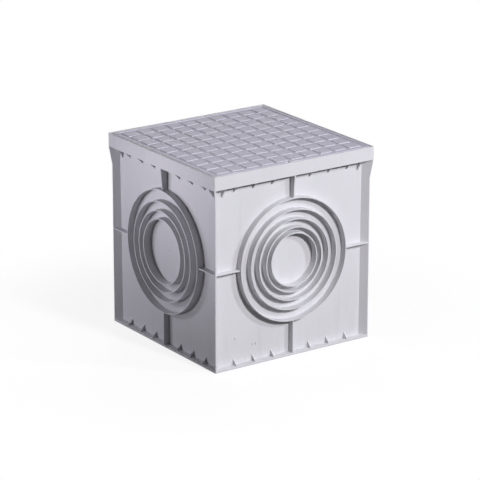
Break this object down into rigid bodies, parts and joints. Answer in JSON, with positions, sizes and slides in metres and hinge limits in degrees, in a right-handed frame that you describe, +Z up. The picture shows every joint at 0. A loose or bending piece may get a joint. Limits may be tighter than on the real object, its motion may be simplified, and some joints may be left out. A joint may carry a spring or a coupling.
{
  "type": "drain inspection chamber",
  "caption": "Square moulded drain inspection chamber with knock-out pipe collars on each side and a drop-in tread lid.",
  "frame": {"origin": "centre of the face the chamber stands on", "axes": "+Z up; the pipe collars look out along +X, -X, +Y and -Y, the ones for the smallest pipe along Y"},
  "size_m": [0.4, 0.4, 0.42],
  "materials": {
    "shell": "satin light grey moulded polypropylene",
    "lid": "satin grey moulded polypropylene"
  },
  "bodies": {
    "root": {"chamber": "shell", "lid": "lid"}
  },
  "joints": []
}
